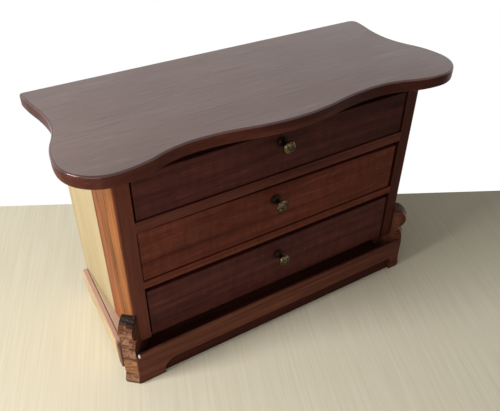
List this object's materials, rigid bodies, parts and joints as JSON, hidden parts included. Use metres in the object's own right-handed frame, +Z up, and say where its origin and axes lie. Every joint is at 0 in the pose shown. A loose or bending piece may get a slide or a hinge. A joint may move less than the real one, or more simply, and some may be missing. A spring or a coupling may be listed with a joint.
{
  "type": "jewelry box",
  "caption": "Tabletop jewellery chest of drawers with a serpentine overhanging top, scroll-sawn corner brackets and turned brass knobs.",
  "frame": {"origin": "on the table plane, under the middle of the whole chest's width and depth", "axes": "+X to the chest's right as its front is faced, +Y from the front to the back, +Z up"},
  "size_m": [0.292, 0.1229, 0.1841],
  "materials": {
    "top_wood": "dark mahogany board, satin varnish",
    "case_wood": "red-brown mahogany, satin varnish",
    "drawer_front_wood": "dark red mahogany, satin varnish",
    "drawer_box_wood": "thin pale hardwood, unfinished",
    "pale_panel_wood": "pale hardwood panel, satin",
    "bracket_wood": "rough scroll-sawn edges, brown stain",
    "base_wood": "mahogany board, satin varnish",
    "strip_wood": "thin pinkish hardwood strip",
    "inner_wood": "plain thin boards, unfinished",
    "knob_brass": "turned, aged",
    "screw_steel": "slotted screw"
  },
  "bodies": {
    "chest": {"back_panel": "inner_wood", "base_front": "base_wood", "bottom_board": "inner_wood", "left_base_strip": "strip_wood", "left_front_block": "inner_wood", "left_front_bracket": "bracket_wood", "left_front_post": "case_wood", "left_lower_guide": "inner_wood", "left_lower_runner": "inner_wood", "left_middle_guide": "inner_wood", "left_rear_block": "inner_wood", "left_side_board": "case_wood", "left_side_panel": "pale_panel_wood", "left_top_cleat": "inner_wood", "left_upper_guide": "inner_wood", "left_upper_runner": "inner_wood", "lower_drawer_rail": "case_wood", "lower_drawer_stops": "drawer_box_wood", "middle_drawer_stops": "drawer_box_wood", "plinth_rail": "base_wood", "right_base_strip": "strip_wood", "right_front_block": "inner_wood", "right_front_bracket": "bracket_wood", "right_front_post": "case_wood", "right_lower_guide": "inner_wood", "right_lower_runner": "inner_wood", "right_middle_guide": "inner_wood", "right_rear_block": "inner_wood", "right_side_board": "case_wood", "right_side_panel": "pale_panel_wood", "right_top_cleat": "inner_wood", "right_upper_guide": "inner_wood", "right_upper_runner": "inner_wood", "top_board": "top_wood", "top_rail": "inner_wood", "upper_drawer_rail": "case_wood", "upper_drawer_stops": "drawer_box_wood"},
    "upper_drawer": {"upper_drawer_back": "drawer_box_wood", "upper_drawer_bottom": "drawer_box_wood", "upper_drawer_front": "drawer_front_wood", "upper_drawer_knob": "knob_brass", "upper_drawer_knob_screw": "screw_steel", "upper_drawer_left_side": "drawer_box_wood", "upper_drawer_right_side": "drawer_box_wood"},
    "middle_drawer": {"middle_drawer_back": "drawer_box_wood", "middle_drawer_bottom": "drawer_box_wood", "middle_drawer_front": "drawer_front_wood", "middle_drawer_knob": "knob_brass", "middle_drawer_knob_screw": "screw_steel", "middle_drawer_left_side": "drawer_box_wood", "middle_drawer_right_side": "drawer_box_wood"},
    "lower_drawer": {"lower_drawer_back": "drawer_box_wood", "lower_drawer_bottom": "drawer_box_wood", "lower_drawer_front": "drawer_front_wood", "lower_drawer_knob": "knob_brass", "lower_drawer_knob_screw": "screw_steel", "lower_drawer_left_side": "drawer_box_wood", "lower_drawer_right_side": "drawer_box_wood"}
  },
  "joints": [
    {"name": "upper_drawer_slide", "type": "slide", "parent": "chest", "child": "upper_drawer", "axis": [0, -1, 0], "range_m": [0, 0.075]},
    {"name": "middle_drawer_slide", "type": "slide", "parent": "chest", "child": "middle_drawer", "axis": [0, -1, 0], "range_m": [0, 0.075]},
    {"name": "lower_drawer_slide", "type": "slide", "parent": "chest", "child": "lower_drawer", "axis": [0, -1, 0], "range_m": [0, 0.075]}
  ]
}
